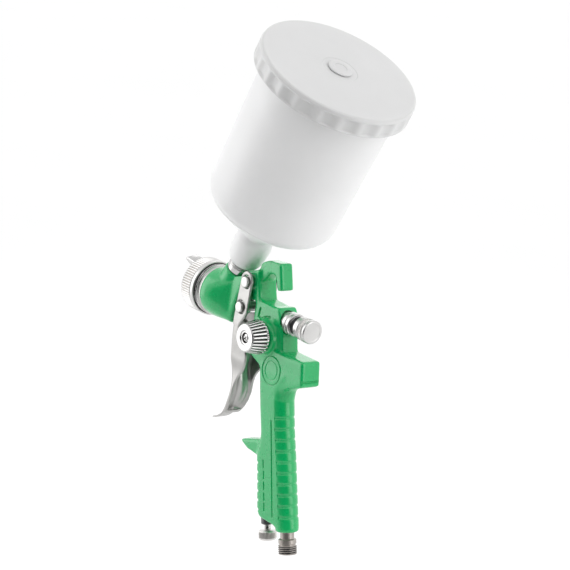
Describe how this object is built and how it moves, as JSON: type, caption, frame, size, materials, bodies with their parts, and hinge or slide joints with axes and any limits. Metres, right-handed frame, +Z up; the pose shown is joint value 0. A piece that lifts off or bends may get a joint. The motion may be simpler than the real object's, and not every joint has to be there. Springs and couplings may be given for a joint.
{
  "type": "gravity feed spray gun",
  "caption": "Handheld HVLP gravity feed paint spray gun with a tilted top cup, painted body, chrome trigger and adjusting knobs.",
  "frame": {"origin": "the highest point of the hanging hook's inside, where the gun rests on the rod it hangs from, in the gun's middle plane", "axes": "-X the way the gun sprays, +Z up with the spray axis level, -Y the side with the fan control knob (the gun's left as held)"},
  "size_m": [0.1813, 0.1084, 0.352],
  "materials": {
    "green_paint": "gloss green paint over a cast aluminium body",
    "white_plastic": "moulded off-white plastic, slightly translucent",
    "nylon": "unfilled nylon",
    "chrome": "bright plated",
    "brass": "machined",
    "steel": "machined",
    "dark_steel": "dull grey, machined",
    "rubber": "matt"
  },
  "bodies": {
    "gun": {"gun_body": "green_paint", "fluid_inlet_joint": "chrome", "fluid_nozzle": "brass", "air_baffle": "dark_steel", "needle_packing": "nylon", "needle_packing_nut": "brass", "needle_sleeve": "chrome", "needle_spring": "steel", "air_valve_bushing": "brass", "air_valve_seal": "rubber", "air_valve_spring": "steel", "trigger_pivot_stud": "chrome", "trigger_pivot_screw": "chrome", "fan_valve_housing": "chrome", "air_control_bush": "dark_steel", "air_inlet_nipple": "chrome"},
    "trigger_lever": {"trigger": "chrome"},
    "cross_pin": {"trigger_cross_pin": "chrome", "cross_pin_clip": "steel"},
    "needle": {"fluid_needle": "steel", "needle_collar": "brass"},
    "air_valve": {"air_valve_stem": "steel"},
    "spring_seat": {"needle_spring_seat": "steel"},
    "fluid_knob": {"needle_knob": "chrome"},
    "fan_ring": {"fan_valve_oring": "rubber"},
    "fan_control": {"fan_knob": "chrome", "fan_valve_stem": "steel", "fan_knob_screw": "chrome"},
    "air_ring": {"air_control_oring": "rubber"},
    "air_control": {"air_control_stem": "steel", "air_control_knob": "chrome"},
    "cap_ring": {"air_cap_ring": "chrome"},
    "cap": {"air_cap": "chrome"},
    "cup": {"cup_body": "white_plastic", "cup_filter": "nylon"},
    "lid": {"cup_lid": "white_plastic"},
    "vent_plug": {"lid_vent_plug": "white_plastic"}
  },
  "joints": [
    {"name": "trigger_hinge", "type": "hinge", "parent": "gun", "child": "trigger_lever", "pos_m": [-0.0194, 0, -0.0099], "axis": [0, -1, 0], "range_deg": [0, 14], "stiffness_Nm_per_rad": 2, "springref_deg": -14.32},
    {"name": "cross_pin_turn", "type": "hinge", "parent": "trigger_lever", "child": "cross_pin", "pos_m": [-0.0226, 0, -0.0283], "axis": [0, -1, 0], "range_deg": [-14, 0]},
    {"name": "needle_slide", "type": "slide", "parent": "gun", "child": "needle", "axis": [1, 0, 0], "range_m": [0, 0.0046], "deforming": ["needle_spring"]},
    {"name": "air_valve_slide", "type": "slide", "parent": "gun", "child": "air_valve", "axis": [1, 0, 0], "range_m": [0, 0.00808], "deforming": ["air_valve_spring"]},
    {"name": "needle_stop_slide", "type": "slide", "parent": "gun", "child": "spring_seat", "axis": [1, 0, 0], "range_m": [-0.002, 0.003], "deforming": ["needle_spring"]},
    {"name": "fluid_knob_turn", "type": "hinge", "parent": "spring_seat", "child": "fluid_knob", "pos_m": [0.05, 0, -0.0283], "axis": [1, 0, 0], "range_deg": [-720, 1080]},
    {"name": "fan_stem_slide", "type": "slide", "parent": "gun", "child": "fan_ring", "axis": [0, -1, 0], "range_m": [0, 0.002]},
    {"name": "fan_knob_turn", "type": "hinge", "parent": "fan_ring", "child": "fan_control", "pos_m": [0.0045, -0.02, -0.0415], "axis": [0, -1, 0], "range_deg": [0, 720]},
    {"name": "air_stem_slide", "type": "slide", "parent": "gun", "child": "air_ring", "axis": [0.2334, 0, -0.9724], "range_m": [0, 0.002]},
    {"name": "air_knob_turn", "type": "hinge", "parent": "air_ring", "child": "air_control", "pos_m": [0.0206, 0, -0.1643], "axis": [0.2334, 0, -0.9724], "range_deg": [0, 720]},
    {"name": "cap_ring_turn", "type": "hinge", "parent": "gun", "child": "cap_ring", "pos_m": [-0.07, 0, -0.0283], "axis": [1, 0, 0], "continuous": true},
    {"name": "cap_turn", "type": "hinge", "parent": "gun", "child": "cap", "pos_m": [-0.07, 0, -0.0283], "axis": [1, 0, 0], "range_deg": [-90, 90]},
    {"name": "cup_lift", "type": "slide", "parent": "gun", "child": "cup", "axis": [0.4664, 0, 0.8846], "range_m": [0, 0.04]},
    {"name": "lid_lift", "type": "slide", "parent": "cup", "child": "lid", "axis": [0.4664, 0, 0.8846], "range_m": [0, 0.05]},
    {"name": "vent_plug_lift", "type": "slide", "parent": "lid", "child": "vent_plug", "axis": [0.4664, 0, 0.8846], "range_m": [0, 0.01]}
  ],
  "couplings": [
    {"joint": "cross_pin_turn", "follows": "trigger_hinge", "ratio": -1},
    {"joint": "needle_slide", "follows": "trigger_hinge", "m_per_rad": 0.0186},
    {"joint": "air_valve_slide", "follows": "trigger_hinge", "m_per_rad": 0.0329},
    {"joint": "fluid_knob_turn", "follows": "needle_stop_slide", "rad_per_m": 6283},
    {"joint": "fan_knob_turn", "follows": "fan_stem_slide", "rad_per_m": 6283},
    {"joint": "air_knob_turn", "follows": "air_stem_slide", "rad_per_m": 6283}
  ]
}
